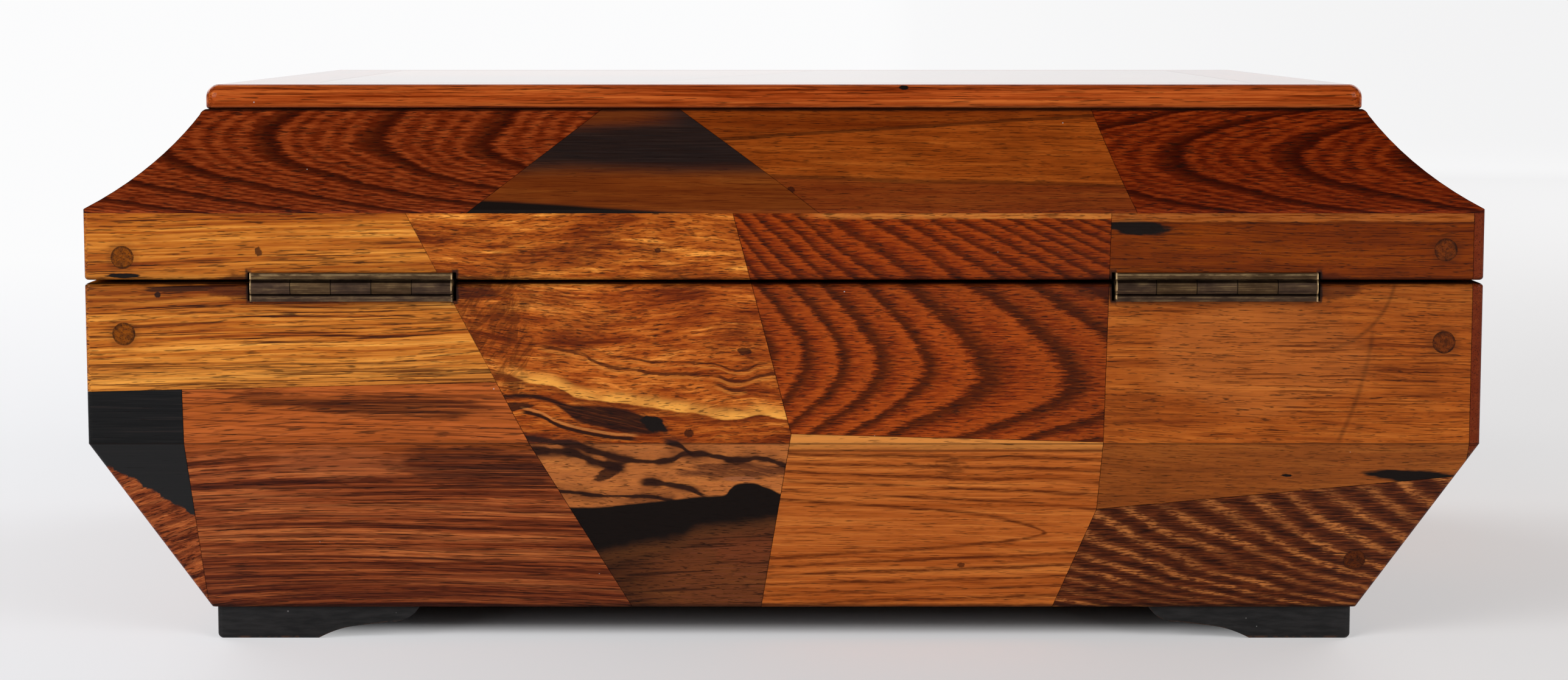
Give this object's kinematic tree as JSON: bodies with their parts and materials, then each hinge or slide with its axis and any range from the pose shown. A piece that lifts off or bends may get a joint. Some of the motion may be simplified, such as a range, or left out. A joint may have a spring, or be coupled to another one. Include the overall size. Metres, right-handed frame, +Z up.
{
  "type": "hinged wooden box",
  "caption": "Lacquered box of patchwork wood blocks with canted walls, a coved hinged lid, brass hinges and black bracket feet, for keeping small things.",
  "frame": {"origin": "middle of the box on the plane of the foot soles", "axes": "+X to the box's right seen from the front, +Y to the hinged rear, +Z up"},
  "size_m": [0.352, 0.2827, 0.1454],
  "materials": {
    "honey_wood": "gloss lacquer",
    "ebony_wood": "gloss lacquer",
    "rosewood": "gloss lacquer",
    "marbled_wood": "gloss lacquer",
    "russet_wood": "gloss lacquer",
    "amber_wood": "gloss lacquer",
    "walnut_wood": "gloss lacquer",
    "striped_wood": "gloss lacquer",
    "cove_wood": "gloss lacquer",
    "cap_wood": "gloss lacquer",
    "dowel_wood": "gloss lacquer, end grain",
    "base_wood": "satin",
    "black_feet": "satin, stained black",
    "aged_brass": "tarnished",
    "brass_screws": "tarnished"
  },
  "bodies": {
    "body": {"base_panel": "base_wood", "body_dowels": "dowel_wood", "body_hinge_screws": "brass_screws", "foot_front_left": "black_feet", "foot_front_right": "black_feet", "foot_rear_left": "black_feet", "foot_rear_right": "black_feet", "foot_screws": "brass_screws", "front_body_amber": "amber_wood", "front_body_ebony": "ebony_wood", "front_body_marbled": "marbled_wood", "front_body_russet": "russet_wood", "front_body_walnut": "walnut_wood", "hinge_left_body_leaf": "aged_brass", "hinge_pins": "aged_brass", "hinge_right_body_leaf": "aged_brass", "left_body_honey": "honey_wood", "left_body_rosewood": "rosewood", "left_body_striped": "striped_wood", "rear_body_amber": "amber_wood", "rear_body_ebony": "ebony_wood", "rear_body_honey": "honey_wood", "rear_body_marbled": "marbled_wood", "rear_body_rosewood": "rosewood", "rear_body_russet": "russet_wood", "rear_body_striped": "striped_wood", "rear_body_walnut": "walnut_wood", "right_body_amber": "amber_wood", "right_body_marbled": "marbled_wood", "right_body_rosewood": "rosewood"},
    "lid": {"front_cap_moulding": "cap_wood", "front_cove_cathedral": "cove_wood", "front_cove_rosewood": "rosewood", "front_rim_russet": "russet_wood", "front_rim_walnut": "walnut_wood", "hinge_left_lid_leaf": "aged_brass", "hinge_right_lid_leaf": "aged_brass", "left_cap_moulding": "cap_wood", "left_cove_rail": "cove_wood", "left_rim_honey": "honey_wood", "left_rim_rosewood": "rosewood", "lid_dowels": "dowel_wood", "lid_hinge_screws": "brass_screws", "rear_cap_moulding": "cap_wood", "rear_cove_cathedral_left": "cove_wood", "rear_cove_cathedral_right": "cove_wood", "rear_cove_ebony": "ebony_wood", "rear_cove_walnut": "walnut_wood", "rear_rim_honey": "honey_wood", "rear_rim_marbled": "marbled_wood", "rear_rim_russet": "russet_wood", "rear_rim_walnut": "walnut_wood", "right_cap_moulding": "cap_wood", "right_cove_rail": "cove_wood", "right_rim_amber": "amber_wood", "right_rim_marbled": "marbled_wood", "top_board_amber": "amber_wood", "top_board_marbled": "marbled_wood", "top_board_russet": "russet_wood", "top_board_walnut": "walnut_wood"}
  },
  "joints": [
    {"name": "lid_hinge", "type": "hinge", "parent": "body", "child": "lid", "pos_m": [0, 0.1403, 0.09535], "axis": [-1, 0, 0], "range_deg": [0, 97]}
  ]
}
